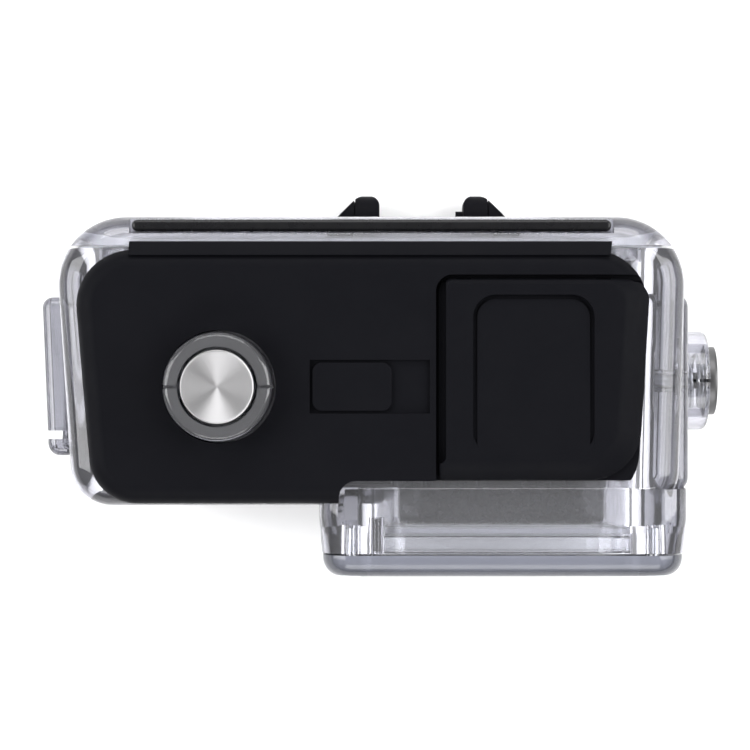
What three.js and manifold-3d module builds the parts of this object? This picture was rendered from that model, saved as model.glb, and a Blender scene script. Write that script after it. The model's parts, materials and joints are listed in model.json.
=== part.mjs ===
// Action camera in a clear dive housing. Millimetres, +Z up, lens towards -Y, rear door towards +Y.
// Origin: on the flat underside of the base plate, midway between the housing's side walls.
import * as THREE from 'three';
import { mergeVertices } from 'three/addons/utils/BufferGeometryUtils.js';
import Module from 'manifold-3d';

const wasm = await Module();
wasm.setup();

// ---- housing shell ----
const HALF_W = 37.3;            // half width at the rear
const FRONT_Y = -17;            // front face of the body
const REAR_Y = 17;              // outer face of the rear door
const JOIN_Y = 13.2;            // rear face of the front shell
const DOOR_Y = 13.5;            // front face of the door flange
const SHELL_Z0 = 3.1;
const SHELL_Z1 = 57;
const EDGE_R = 3.2;             // rounding of the top edge
const CAVITY = { x: 34.2, z0: 5.5, z1: 54.6, y0: -14.6, r: 6 };
// ---- base plate and door hinge ----
const BASE_T = 3;
const HINGE = { y: 20, z: 3.2, r: 3.0, pin: 0.8 };
const HINGE_X = 6.95;           // middle of the two hinge lugs
const SOCKET = { x: 12, y: -1 };  // tripod socket
const LUG = { inner: 5.75, split: 9.15, outer: 12.6, tip: 3.05 };
// ---- top plate, lock and latch ----
const PLATE_Z0 = 57.1;
const PLATE_Z1 = 60;
const SLOT = { x0: -6.95, x1: 6.95, y0: -6.1, y1: 0.1 };
const SLIDER_L = 9.2;
const POCKET = { x0: 7.65, y1: 9.95, z: 58.0 };
const LATCH = { x0: 7.95, y0: -13.9, y1: 9.55, z0: 58.3, z1: 60.6 };
const PIVOT = { y: 8.0, z: 59.2, r: 0.5 };
const TRACK_Z = 59.4;           // floor of the lock slider's track
const LIP = { x0: -27.9, x1: 28.1, y0: 12.2, y1: 13.85 };  // ridge along the plate's rear edge
// ---- buttons ----
const SHUTTER = { x: -17.4, y: -3.0, rim: 64, floor: 57.6 };
const MODE = { y: -2.35, z: 36, rim: 41.8, floor: 37.9 };
const COLLAR_R = 6.25;
const BORE_R = 4.6;
const CAP_R = 4.25;
const STEM_R = 1.1;
// ---- lens port ----
const PORT = { x: 15.7, z: 34.9, w: 43.4, h: 43.8, r: 3.6, y1: -22.6 };
const WINDOW = { w: 36, h: 36.4, r: 7.7, t: 2 };
const PORT_BORE = { w: 34.4, h: 33, r: 6 };
const GASKET = { w: 35.6, h: 35.3, r: 7.1, t: 0.45 };
// ---- camera inside ----
const CAM = { x0: -31.5, x1: 30.0, y0: -12.3, y1: 8.6, z0: 6.8, z1: 51, r: 4.5, wall: 1.5 };
const LENS = { x: 15.7, z: 36 };
const DOWEL = { x: 0.8, z: 54.7 };

const MATERIALS = {
  clear: { color: 0xc4c6d0, roughness: 0.08, transparent: true, opacity: 0.35 },
  smoke: { color: 0x7d818c, roughness: 0.15, transparent: true, opacity: 0.55 },
  glass: { color: 0xdfe6ea, roughness: 0.02, transparent: true, opacity: 0.3 },
  black: { color: 0x17171a, roughness: 0.5 },
  body: { color: 0x26272b, roughness: 0.6 },
  rubber: { color: 0x121213, roughness: 0.8 },
  silicone: { color: 0xcfd1d8, roughness: 0.7 },
  steel: { color: 0xb4b6ba, metalness: 1, roughness: 0.3 },
  alu: { color: 0xc6c6ca, metalness: 1, roughness: 0.35 },
  brass: { color: 0xb8924a, metalness: 1, roughness: 0.35 },
  board: { color: 0x1d4d33, roughness: 0.6 },
  cell: { color: 0x3a3d44, roughness: 0.5 },
  screen: { color: 0x08090b, roughness: 0.1 },
};

// ---------------------------------------------------------------- geometry helpers

// Outline of a convex polygon with rounded corners. corners: [x, y, radius].
function outline(corners, inset = 0, steps = 4) {
  const n = corners.length;
  const lines = [];
  for (let i = 0; i < n; i += 1) {
    const a = corners[i];
    const b = corners[(i + 1) % n];
    const len = Math.hypot(b[0] - a[0], b[1] - a[1]);
    const nx = -(b[1] - a[1]) / len;
    const ny = (b[0] - a[0]) / len;
    lines.push([nx, ny, nx * a[0] + ny * a[1] + inset]);
  }
  const pts = [];
  for (let i = 0; i < n; i += 1) {
    const p = lines[(i + n - 1) % n];
    const q = lines[i];
    const r = Math.max(corners[i][2] - inset, 0.05);
    const det = p[0] * q[1] - p[1] * q[0];
    const cx = ((p[2] + r) * q[1] - (q[2] + r) * p[1]) / det;
    const cy = (p[0] * (q[2] + r) - q[0] * (p[2] + r)) / det;
    const a0 = Math.atan2(-p[1], -p[0]);
    let a1 = Math.atan2(-q[1], -q[0]);
    if (a1 < a0) {
      a1 += 2 * Math.PI;
    }
    for (let k = 0; k <= steps; k += 1) {
      const a = a0 + ((a1 - a0) * k) / steps;
      pts.push([cx + r * Math.cos(a), cy + r * Math.sin(a)]);
    }
  }
  return pts;
}

function rect(x0, y0, x1, y1, r) {
  return [[x0, y0, r], [x1, y0, r], [x1, y1, r], [x0, y1, r]];
}

function centred(cx, cy, w, h, r) {
  return rect(cx - w / 2, cy - h / 2, cx + w / 2, cy + h / 2, r);
}

// Closed solid through a stack of outlines. sections: [{ pts, z }], all with the same point count.
function loft(sections) {
  const n = sections[0].pts.length;
  const pos = [];
  const idx = [];
  sections.forEach((s) => s.pts.forEach((p) => pos.push(p[0], p[1], s.z)));
  for (let j = 0; j + 1 < sections.length; j += 1) {
    for (let i = 0; i < n; i += 1) {
      const a = j * n + i;
      const b = j * n + ((i + 1) % n);
      idx.push(a, b, b + n, a, b + n, a + n);
    }
  }
  const cap = (j, flip) => {
    const contour = sections[j].pts.map((p) => new THREE.Vector2(p[0], p[1]));
    THREE.ShapeUtils.triangulateShape(contour, []).forEach((t) => {
      const f = t.map((k) => k + j * n);
      idx.push(f[0], flip ? f[2] : f[1], flip ? f[1] : f[2]);
    });
  };
  cap(0, true);
  cap(sections.length - 1, false);
  const g = new THREE.BufferGeometry();
  g.setAttribute('position', new THREE.Float32BufferAttribute(pos, 3));
  g.setIndex(idx);
  return g;
}

// Rounded-corner block standing along Z, with its top and bottom edges rounded.
function block(corners, z0, z1, top = 0, bottom = 0, steps = 4, arc = 2) {
  const sections = [];
  if (bottom > 0) {
    for (let k = arc; k >= 1; k -= 1) {
      const a = (k / arc) * (Math.PI / 2);
      sections.push({ inset: bottom * (1 - Math.cos(a)), z: z0 + bottom * (1 - Math.sin(a)) });
    }
  }
  sections.push({ inset: 0, z: z0 + bottom });
  sections.push({ inset: 0, z: z1 - top });
  if (top > 0) {
    for (let k = 1; k <= arc; k += 1) {
      const a = (k / arc) * (Math.PI / 2);
      sections.push({ inset: top * (1 - Math.cos(a)), z: z1 - top * (1 - Math.sin(a)) });
    }
  }
  return loft(sections.map((s) => ({ pts: outline(corners, s.inset, steps), z: s.z })));
}

// Turn a block built along Z (plan x, plan y = world z) so that it stands along -Y.
function alongY(g) {
  return g.rotateX(Math.PI / 2);
}

// Turn a shape built along Z so that it points along +X.
function alongX(g) {
  return g.rotateY(Math.PI / 2);
}

// XZ rounded rectangle between y0 < y1; round0 and round1 round its edges at y0 and y1.
function slab(corners, y0, y1, round0 = 0, round1 = 0, steps = 4) {
  return alongY(block(corners, -y1, -y0, round0, round1, steps));
}

function box(x0, x1, y0, y1, z0, z1) {
  const g = new THREE.BoxGeometry(x1 - x0, y1 - y0, z1 - z0);
  return g.translate((x0 + x1) / 2, (y0 + y1) / 2, (z0 + z1) / 2);
}

// Turned shape about Z from a closed profile of [radius, z].
function turned(profile, seg = 24) {
  return new THREE.LatheGeometry(profile.map((p) => new THREE.Vector2(p[0], p[1])), seg)
    .rotateX(Math.PI / 2);
}

function rod(r, z0, z1, seg = 16) {
  return turned([[0, z0], [r, z0], [r, z1], [0, z1]], seg);
}

function tube(r0, r1, z0, z1, seg = 20) {
  return turned([[r0, z0], [r1, z0], [r1, z1], [r0, z1], [r0, z0]], seg);
}

function rodX(r, x0, x1, y, z, seg = 14) {
  return alongX(rod(r, x0, x1, seg)).translate(0, y, z);
}

function rodY(r, y0, y1, x, z, seg = 24) {
  return alongY(rod(r, -y1, -y0, seg)).translate(x, 0, z);
}

// Round wire coil about Z with flat-sided section; its ends are capped.
function coil(r, wire, z0, z1, turns, perTurn = 12, sides = 4) {
  const pos = [];
  const idx = [];
  const steps = Math.round(turns * perTurn);
  for (let i = 0; i <= steps; i += 1) {
    const a = (i / perTurn) * 2 * Math.PI;
    const z = z0 + wire + ((z1 - z0 - 2 * wire) * i) / steps;
    for (let k = 0; k < sides; k += 1) {
      const b = (k / sides) * 2 * Math.PI;
      const rr = r + wire * Math.cos(b);
      pos.push(rr * Math.cos(a), rr * Math.sin(a), z + wire * Math.sin(b));
    }
  }
  for (let i = 0; i < steps; i += 1) {
    for (let k = 0; k < sides; k += 1) {
      const p = i * sides + k;
      const q = i * sides + ((k + 1) % sides);
      idx.push(p, p + sides, q + sides, p, q + sides, q);
    }
  }
  for (let k = 1; k + 1 < sides; k += 1) {
    idx.push(0, k, k + 1);
    const e = steps * sides;
    idx.push(e, e + k + 1, e + k);
  }
  const g = new THREE.BufferGeometry();
  g.setAttribute('position', new THREE.Float32BufferAttribute(pos, 3));
  g.setIndex(idx);
  return g;
}

function solid(g) {
  const c = g.clone();
  c.deleteAttribute('normal');
  c.deleteAttribute('uv');
  const m = mergeVertices(c, 1e-4);
  const tri = [];
  for (let i = 0; i < m.index.count; i += 3) {
    const t = [m.index.getX(i), m.index.getX(i + 1), m.index.getX(i + 2)];
    if (t[0] !== t[1] && t[1] !== t[2] && t[2] !== t[0]) {
      tri.push(...t);
    }
  }
  return new wasm.Manifold(new wasm.Mesh({
    numProp: 3,
    vertProperties: new Float32Array(m.attributes.position.array),
    triVerts: new Uint32Array(tri),
  }));
}

function geometry(m) {
  const mesh = m.getMesh();
  const g = new THREE.BufferGeometry();
  g.setAttribute('position', new THREE.Float32BufferAttribute(mesh.vertProperties, 3));
  g.setIndex(new THREE.Uint32BufferAttribute(mesh.triVerts, 1));
  return g;
}

function combine(adds, cuts = []) {
  let m = solid(adds[0]);
  adds.slice(1).forEach((g) => {
    m = m.add(solid(g));
  });
  cuts.forEach((g) => {
    m = m.subtract(solid(g));
  });
  return geometry(m);
}

function common(a, b) {
  return geometry(solid(a).intersect(solid(b)));
}

// ---------------------------------------------------------------- housing

// Plan outline shared by the shell and the door, tapering towards the front.
function bodyPlan() {
  return [[-35.0, FRONT_Y, 5], [36.3, FRONT_Y, 4], [HALF_W, REAR_Y, 8], [-HALF_W, REAR_Y, 8]];
}

function bodyBlank(z0, z1, bottom) {
  return block(bodyPlan(), z0, z1, EDGE_R, bottom, 5, 3);
}

function cavityBlank() {
  const c = CAVITY;
  const back = outline(rect(-c.x, c.z0, c.x, c.z1, c.r));
  const front = outline(rect(-c.x + 1.2, c.z0, c.x - 0.6, c.z1, c.r));
  const g = loft([{ pts: back, z: -(JOIN_Y + 1) }, { pts: back, z: -JOIN_Y + 0.5 }, { pts: front, z: -c.y0 }]);
  return alongY(g);
}

function portBlank() {
  const p = PORT;
  const wide = outline(centred(p.x, p.z, p.w, p.h, p.r));
  const slim = outline(centred(p.x, p.z, p.w - 0.7, p.h - 1.0, p.r));
  return alongY(loft([{ pts: wide, z: 15 }, { pts: wide, z: 18.5 }, { pts: slim, z: -p.y1 }]));
}

function portSlab(size, y0, y1) {
  return slab(centred(PORT.x, PORT.z, size.w, size.h, size.r), y0, y1);
}

function screwSpots() {
  const dx = PORT.w / 2 - 3.9;
  const dz = PORT.h / 2 - 3.9;
  return [[-1, -1], [1, -1], [1, 1], [-1, 1]].map((s) => [PORT.x + s[0] * dx, PORT.z + s[1] * dz]);
}

function collarSlots(h) {
  return box(-COLLAR_R - 1, COLLAR_R + 1, -0.2, 0.2, h, 10);
}

// Gland and stem bore below a button collar, about Z, from depth d0 up to the collar floor.
function glandCuts(d0, floor) {
  return [rod(STEM_R + 0.3, d0 - 1, floor + 1), rod(2.5, floor - 1.9, floor - 0.7)];
}

function shutterCuts() {
  const s = SHUTTER;
  const cuts = [rod(BORE_R, s.floor, s.rim + 1, 28), collarSlots(0).translate(0, 0, s.rim - 2.6)];
  return cuts.concat(glandCuts(CAVITY.z1, s.floor)).map((g) => g.translate(s.x, s.y, 0));
}

function modeCuts() {
  const m = MODE;
  const cuts = [rod(BORE_R, m.floor, m.rim + 1, 28), collarSlots(0).translate(0, 0, m.rim - 2.2)];
  return cuts.concat(glandCuts(33, m.floor)).map((g) => alongX(g).translate(0, m.y, m.z));
}

function sideRib() {
  const plan = [[-38.5, -11.3, 1.5], [-35.5, -11.3, 0.8], [-35.5, 7.7, 0.8], [-39.3, 7.7, 1.3]];
  return block(plan, 10, 50, 1.2, 1.2, 4, 3);
}

function frontShell() {
  const blank = bodyBlank(SHELL_Z0, SHELL_Z1, 1.5);
  const collar = turned([[0, 55], [COLLAR_R + 0.05, 55], [COLLAR_R + 0.05, 60], [COLLAR_R, 63.3],
    [COLLAR_R - 0.25, 63.75], [COLLAR_R - 0.7, 64], [0, 64]], 30).translate(SHUTTER.x, SHUTTER.y, 0);
  const side = alongX(turned([[0, 35.2], [COLLAR_R + 0.1, 35.2], [COLLAR_R - 0.1, 41.3],
    [COLLAR_R - 0.6, 41.8], [0, 41.8]], 30)).translate(0, MODE.y, MODE.z);
  const sidePad = block(rect(34, -15.6, 37.9, 8.2, 1.8), 8, 52, 1.5, 1.5, 4, 3);
  const adds = [blank, portBlank(), collar, side, sideRib(), sidePad];
  const cuts = [
    box(-60, 60, JOIN_Y, 60, -10, 90),
    cavityBlank(),
    portSlab(PORT_BORE, -30, -14),
    portSlab({ w: WINDOW.w + 0.6, h: WINDOW.h + 0.6, r: WINDOW.r + 0.3 }, -30, -20.2),
    portSlab({ w: GASKET.w + 0.3, h: GASKET.h + 0.3, r: GASKET.r + 0.1 }, -20.3, -19.4),
    box(-40, -36.7, -9.3, -8.3, 0, 60),
    rodY(0.9, -30, -18.3, DOWEL.x, DOWEL.z, 10),
    ...shutterCuts(),
    ...modeCuts(),
    ...screwSpots().map((p) => rodY(1.0, -30, -19.2, p[0], p[1], 10)),
    ...baseScrewSpots().map((p) => rod(0.9, -1, 5.0, 10).translate(p[0], p[1], 0)),
  ];
  return combine(adds, cuts);
}

function portBezel() {
  const p = PORT;
  const y0 = -25.4;
  const y1 = -22.8;
  const outer = slab(centred(p.x, p.z, p.w - 0.9, p.h - 1.2, p.r), y0, y1, 2.2, 0);
  const cuts = [portSlab(PORT_BORE, y0 - 1, y1 + 1)];
  screwSpots().forEach((s) => {
    cuts.push(rodY(1.2, y0 - 1, y1 + 1, s[0], s[1], 10));
    cuts.push(rodY(1.9, y0 - 1, y0 + 1.1, s[0], s[1], 14));
  });
  return combine([outer], cuts);
}

function bezelScrew(x, z) {
  const head = rodY(1.6, -25.3, -24.5, x, z, 14);
  const shaft = rodY(0.7, -24.6, -19.6, x, z, 8);
  const drive = slab(centred(x, z, 1.8, 0.4, 0.05), -25.6, -24.9, 0, 0, 1);
  return combine([head, shaft], [drive]);
}

function portWindow() {
  return portSlab(WINDOW, -22.5, -22.5 + WINDOW.t);
}

// Locating pin pressed into the port's front wall.
function portDowel() {
  return rodY(0.75, -22.3, -18.5, DOWEL.x, DOWEL.z, 12);
}

function portGasket() {
  const g = GASKET;
  return combine([portSlab(g, -20.25, -19.6)],
    [portSlab({ w: g.w - 2 * g.t, h: g.h - 2 * g.t, r: g.r - g.t }, -21, -19)]);
}

// ---------------------------------------------------------------- base

function baseScrewSpots() {
  return [[-27, -11.5], [27, -11.5], [27, 9.5], [-27, 9.5]];
}

// Plan of one hinge lug: flat towards the middle, rounded at its tip, sloping away outwards.
function lugPlan(s) {
  const tip = HINGE.y + LUG.tip;
  const half = [[LUG.inner, 10, 0.3], [21.0, 10, 0.3], [8.55, tip, 2.2], [LUG.inner, tip, 1.5]];
  const pts = half.map((p) => [HINGE_X + s * p[0], p[1], p[2]]);
  return block(s > 0 ? pts : pts.reverse(), -2, 9, 0, 0, 5);
}

function basePlate() {
  const plate = block([[-31, -15, 4], [31, -15, 4], [31, 13, 4], [-31, 13, 4]], 0, BASE_T, 0, 0.6, 5, 2);
  const adds = [plate];
  const cuts = [rod(5.2, -1, 2.4, 24).translate(SOCKET.x, SOCKET.y, 0)];
  [-1, 1].forEach((s) => {
    const xa = HINGE_X + s * (LUG.split + 0.075);
    const xb = HINGE_X + s * LUG.outer;
    const lo = Math.min(xa, xb);
    const hi = Math.max(xa, xb);
    const ear = combine([rodX(HINGE.r, lo, hi, HINGE.y, HINGE.z, 24), box(lo, hi, 11, HINGE.y, 0.4, 2.9)]);
    adds.push(common(ear, lugPlan(s)));
    adds.push(rodX(2.2, Math.min(xa, xa - s * 0.5), Math.max(xa, xa - s * 0.5), HINGE.y, HINGE.z, 20));
    cuts.push(rodX(HINGE.pin + 0.05, lo - 2, hi + 2, HINGE.y, HINGE.z, 12));
  });
  baseScrewSpots().forEach((p) => {
    cuts.push(rod(1.3, -1, 4, 10).translate(p[0], p[1], 0));
    cuts.push(rod(2.4, -1, 1.6, 14).translate(p[0], p[1], 0));
  });
  return combine(adds, cuts);
}

function baseScrew(x, y) {
  const drive = block(centred(x, y, 2.4, 0.5, 0.05), 0.2, 0.9, 0, 0, 1);
  return combine([rod(2.1, 0.4, 1.4, 14).translate(x, y, 0), rod(0.7, 1.3, 4.7, 8).translate(x, y, 0)],
    [drive]);
}

function tripodInsert() {
  return tube(3.1, 4.9, 0.2, 2.2, 24).translate(SOCKET.x, SOCKET.y, 0);
}

// ---------------------------------------------------------------- rear door

function sealRing(grow) {
  const outer = rect(-35.2 - grow, 4.3 - grow, 35.2 + grow, 56.0 + grow, 8.3 + grow);
  const inner = rect(-34.4 + grow, 5.1 + grow, 34.4 - grow, 55.2 - grow, 7.5 - grow);
  return [outer, inner];
}

function ringSlab(pair, y0, y1) {
  return combine([slab(pair[0], y0, y1)], [slab(pair[1], y0 - 1, y1 + 1)]);
}

function rearDoor() {
  const blank = bodyBlank(3.4, SHELL_Z1, 1.0);
  const plug = slab(rect(-33.7, 6.0, 33.7, 54.1, 5.5), 11.9, DOOR_Y + 0.5, 0.4, 0);
  const cuts = [
    box(-60, 60, -60, DOOR_Y, -10, 90),
    ringSlab(sealRing(0.2), DOOR_Y - 1, 14.5),
    slab(rect(-24, 12, 24, 46, 4), 15.6, 20),
    box(-28.1, 28.5, 14.9, 16.7, 55.2, 60),
  ];
  const body = solid(blank);
  let m = body;
  cuts.forEach((g) => {
    m = m.subtract(solid(g));
  });
  return geometry(m.add(solid(plug)).subtract(solid(slab(rect(-32.2, 7.5, 32.2, 52.6, 4.5), 11, 13.9))));
}

function doorSeal() {
  return ringSlab(sealRing(0), 13.28, 14.3);
}

function doorTopRail() {
  return block(rect(-27.8, 15.1, 28.2, 16.5, 0.6), 55.4, 57.25, 0.35, 0, 3, 2);
}

// Black bar on the door's lower edge that carries the two hinge knuckles.
function doorHingeBar() {
  const half = LUG.split - 0.3;
  const bar = block(rect(HINGE_X - half, 17.15, HINGE_X + half, 18.7, 0.5), 3.6, 9.2, 0.6, 0, 3);
  const adds = [bar];
  const cuts = [];
  [-1, 1].forEach((s) => {
    const xa = HINGE_X + s * LUG.inner;
    const xb = HINGE_X + s * (LUG.split - 0.075);
    const lo = Math.min(xa, xb);
    const hi = Math.max(xa, xb);
    adds.push(common(rodX(HINGE.r, lo, hi, HINGE.y, HINGE.z, 24), lugPlan(s)));
    adds.push(box(lo, hi, 17.3, HINGE.y, HINGE.z + 0.4, HINGE.z + 2.9));
    cuts.push(rodX(HINGE.pin + 0.1, lo - 1, hi + 1, HINGE.y, HINGE.z, 12));
    cuts.push(rodX(2.35, Math.min(xb - s * 0.6, xb + s), Math.max(xb - s * 0.6, xb + s), HINGE.y, HINGE.z, 20));
  });
  return combine(adds, cuts);
}

function hingePin(s) {
  const xa = HINGE_X + s * (LUG.inner + 0.4);
  const xb = HINGE_X + s * 11.2;
  return rodX(HINGE.pin, Math.min(xa, xb), Math.max(xa, xb), HINGE.y, HINGE.z, 12);
}

// ---------------------------------------------------------------- top plate, lock, latch

function platePlan() {
  return [[-32.2, -16.6, 5.6], [31.0, -16.6, 6], [32.75, 12.9, 6.5], [-34.7, 12.9, 6.5]];
}

function earSpots() {
  return [[10.3, 11.4], [26.4, 27.6]];
}

// Sloping ridge along the plate's rear edge that covers the joint with the door.
function plateLip() {
  const l = LIP;
  const low = [[l.x0, l.y0], [l.x1 - 0.3, l.y0], [l.x1, l.y1], [l.x0, l.y1]];
  const high = [[l.x0, l.y0], [l.x1 - 0.3, l.y0], [l.x1 - 0.3, l.y0 + 0.1], [l.x0, l.y0 + 0.1]];
  return loft([{ pts: low, z: 57.35 }, { pts: low, z: 58.9 }, { pts: high, z: PLATE_Z1 }]);
}

// Narrow guide under the thumb piece and the wider channel its foot runs in.
function lockCuts() {
  const x = SLOT.x0 + 1.1;
  return [
    box(SLOT.x0, SLOT.x1, SLOT.y0, SLOT.y1, TRACK_Z, 70),
    box(x - 0.3, x + 7.4, -4.3, -1.7, 57, 70),
    box(x - 0.7, x + 7.8, -5.5, -0.5, 57, 58.5),
  ];
}

function topPlate() {
  const blank = block(platePlan(), PLATE_Z0, PLATE_Z1, 2.2, 0, 5, 3);
  const ears = earSpots().map((e) => rodX(0.85, e[0], e[1], PIVOT.y, PIVOT.z, 14));
  const feet = earSpots().map((e) => box(e[0], e[1], PIVOT.y - 0.8, PIVOT.y + 0.8, 57.2, PIVOT.z));
  const portGap = block([[-5.0, -30, 0.3], [60, -30, 0.3], [60, -13.9, 0.3], [-3.4, -13.9, 2]], 50, 70);
  const pocket = [[POCKET.x0, -30, 0.1], [60, -30, 0.1], [60, POCKET.y1, 0.1], [POCKET.x0, POCKET.y1, 1.9]];
  const cuts = [
    portGap,
    rod(COLLAR_R + 0.3, 50, 70, 30).translate(SHUTTER.x, SHUTTER.y, 0),
    block(pocket, POCKET.z, 70),
    rodX(1.8, 8.6, 32.3, PIVOT.y, PIVOT.z, 24),
    ...lockCuts(),
  ];
  let m = solid(blank).add(solid(plateLip()));
  cuts.forEach((g) => {
    m = m.subtract(solid(g));
  });
  ears.concat(feet).forEach((g) => {
    m = m.add(solid(g));
  });
  return geometry(m.subtract(solid(rodX(PIVOT.r + 0.05, 9, 29, PIVOT.y, PIVOT.z, 10))));
}

// Plan of the lever drawn in from its left, front, right and rear sides.
function leverPlan(left, front, right, rear) {
  const l = LATCH;
  return outline([[l.x0 + left, l.y0 + front, 0.5], [31.16 - right, l.y0 + front, 6.2 - 0.6 * right],
    [32.55 - right, l.y1 - rear, 2.6], [l.x0 + left, l.y1 - rear, 1.6]], 0, 5);
}

function leverBlank() {
  return loft([
    { pts: leverPlan(0, 0, 0, 0), z: LATCH.z0 },
    { pts: leverPlan(0, 0, 0, 0), z: 58.75 },
    { pts: leverPlan(0.05, 0.25, 0.6, 0.05), z: 59.3 },
    { pts: leverPlan(0.1, 0.75, 1.3, 0.1), z: 59.75 },
    { pts: leverPlan(0.2, 1.5, 2.4, 0.25), z: 60.3 },
    { pts: leverPlan(0.6, 2.5, 3.1, 0.7), z: LATCH.z1 },
  ]);
}

function latchLever() {
  const l = LATCH;
  const panel = block(rect(11.9, l.y0 - 10, 25.9, 0, 2.6), 0, 5).rotateX(-0.033)
    .translate(0, 7.6, l.z1 - 0.6);
  // narrow groove round the recess, open at its front ends
  const rim = combine([block(rect(11.9, -18.35, 25.9, 0, 2.6), -0.35, 1)],
    [block(rect(12.4, -30, 25.4, -0.5, 2.1), -2, 3)]).rotateX(-0.033).translate(0, 7.6, l.z1 - 0.6);
  // step along the left side that leaves a groove between lever and plate
  const step = block([[0, -11.9, 0.3], [l.x0 + 0.85, -11.9, 0.8], [l.x0 + 0.85, 20, 0.1], [0, 20, 0.1]], 58.9, 70);
  const cuts = [panel, rim, step];
  earSpots().forEach((e) => {
    cuts.push(box(e[0] - 0.3, e[1] + 0.3, PIVOT.y - 2.3, PIVOT.y + 2.5, 57, PIVOT.z));
    cuts.push(rodX(1.1, e[0] - 0.3, e[1] + 0.3, PIVOT.y, PIVOT.z, 14));
    cuts.push(box(e[0] - 0.3, e[1] + 0.3, PIVOT.y, PIVOT.y + 2.5, 57, PIVOT.z + 0.75));
  });
  cuts.push(rodX(PIVOT.r + 0.1, l.x0 + 1.5, 29.1, PIVOT.y, PIVOT.z, 10));
  // the underside is rounded about the pivot so that it clears the pocket floor
  const heel = combine([box(0, 50, PIVOT.y, 12, 56, PIVOT.z)], [rodX(1.15, -1, 51, PIVOT.y, PIVOT.z, 20)]);
  cuts.push(heel);
  return combine([leverBlank()], cuts);
}

function latchPin() {
  return rodX(PIVOT.r, LATCH.x0 + 1.65, 28.95, PIVOT.y, PIVOT.z, 10);
}

function lockSlider() {
  const x0 = SLOT.x0 + 0.3;
  const x = SLOT.x0 + 1.1;
  const thumb = block(rect(x0, SLOT.y0 + 0.3, x0 + SLIDER_L, SLOT.y1 - 0.3, 1.1), TRACK_Z + 0.1, 60.1, 0.15, 0, 5, 2);
  return combine([thumb, box(x, x + 3, -4.0, -2.0, 57.6, 59.7), box(x - 0.4, x + 3.4, -5.2, -0.8, 57.5, 58.2)]);
}

// ---------------------------------------------------------------- buttons (built about Z at the origin)

// Cap with a shallow turned cone; h is its top.
function capShape(h) {
  return turned([[0, h - 1.5], [CAP_R - 0.3, h - 1.5], [CAP_R, h - 1.2], [CAP_R, h - 0.35],
    [CAP_R - 0.35, h], [0.5, h - 0.25], [0, h - 0.25]], 28);
}

// Stem from just under the cap to its tip, with a groove for the clip.
function stemShape(h, tip, clip) {
  const r = STEM_R;
  return turned([[0, tip], [r - 0.25, tip], [r, tip + 0.25], [r, clip - 0.3], [r - 0.4, clip - 0.3],
    [r - 0.4, clip + 0.3], [r, clip + 0.3], [r, h - 3.0], [0.6, h - 3.0], [0.6, h - 1.8], [2.1, h - 1.8],
    [2.1, h - 1.55], [0, h - 1.55]], 14);
}

function clipShape(clip) {
  const ring = tube(STEM_R - 0.25, 2.0, clip - 0.18, clip + 0.18, 16);
  return combine([ring], [box(-0.45, 0.45, 0.2, 3, clip - 1, clip + 1)]);
}

// Soft stop sleeve round the stem's neck, just under the cap.
function sleeveShape(h) {
  return tube(0.65, 1.0, h - 2.95, h - 1.85, 16);
}

function oringShape(z) {
  return new THREE.TorusGeometry(1.8, 0.4, 6, 18).translate(0, 0, z);
}

function atShutter(g) {
  return g.translate(SHUTTER.x, SHUTTER.y, 0);
}

function atMode(g) {
  return alongX(g).translate(0, MODE.y, MODE.z);
}

// ---------------------------------------------------------------- camera inside

function cameraShell() {
  const c = CAM;
  const blank = slab(rect(c.x0, c.z0, c.x1, c.z1, c.r), c.y0, c.y1, 1.5, 0, 5);
  const w = c.wall;
  const cuts = [
    slab(rect(c.x0 + w, c.z0 + w, c.x1 - w, c.z1 - w, c.r - w), c.y0 + w, c.y1 + 1),
    rodY(9.2, -20, 0, LENS.x, LENS.z, 28),
    slab(rect(-27, 23, -4, 45, 2), c.y0 - 1, c.y0 + 0.9),
    rod(4.3, 49, 52, 24).translate(SHUTTER.x, SHUTTER.y, 0),
    alongX(rod(3.3, 28, 32, 20)).translate(0, MODE.y, MODE.z),
    box(c.x0 - 1, c.x0 + 3, -4.0, 5.0, 12, 22),
    ...[-2, -1, 0, 1, 2].map((k) => rodY(0.5, -14, -10, -15.5 + k * 1.8, 13, 8)),
  ];
  return combine([blank], cuts);
}

function cameraBack() {
  const c = CAM;
  return combine([slab(rect(c.x0, c.z0, c.x1, c.z1, c.r), c.y1 + 0.15, 10.7, 0, 1.0, 5)],
    [slab(rect(-24, 11, 24, 47, 2), 9.7, 12)]);
}

function lensRing() {
  const outer = slab(centred(LENS.x, LENS.z, 26, 26, 4), -19.3, -12.5, 1.2, 0, 4);
  return combine([outer], [rodY(9.9, -20, -17.8, LENS.x, LENS.z, 28), rodY(9.0, -20, -10, LENS.x, LENS.z, 28)]);
}

function lensBarrel() {
  const profile = [[6.2, 0], [8.7, 0], [8.7, 17.5], [7.6, 17.5], [7.6, 9], [6.2, 9], [6.2, 0]];
  return alongY(turned(profile, 24)).translate(LENS.x, 1.2, LENS.z);
}

// Lens element about Y; bulge is how far its front face stands out.
function element(r, y0, y1, bulge) {
  const profile = [[0, 0], [r, 0], [r, y1 - y0 - bulge]];
  for (let k = 1; k <= 3; k += 1) {
    const a = (k / 3) * (Math.PI / 2);
    profile.push([r * Math.cos(a), y1 - y0 - bulge + bulge * Math.sin(a)]);
  }
  profile[profile.length - 1][0] = 0;
  return alongY(turned(profile, 20)).translate(LENS.x, y1, LENS.z);
}

function mainBoard() {
  return combine([slab(rect(-29.4, 9, 28.4, 48.6, 2), 4.0, 5.2)],
    [rodY(1.2, 0, 9, -26.5, 12, 12), rodY(1.2, 0, 9, 25.5, 12, 12)]);
}

function battery() {
  return slab(rect(-29.2, 24, 3.4, 48.3, 1.5), -10.4, 3.4, 0.6, 0.6, 3);
}

// ---------------------------------------------------------------- assembly

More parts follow.
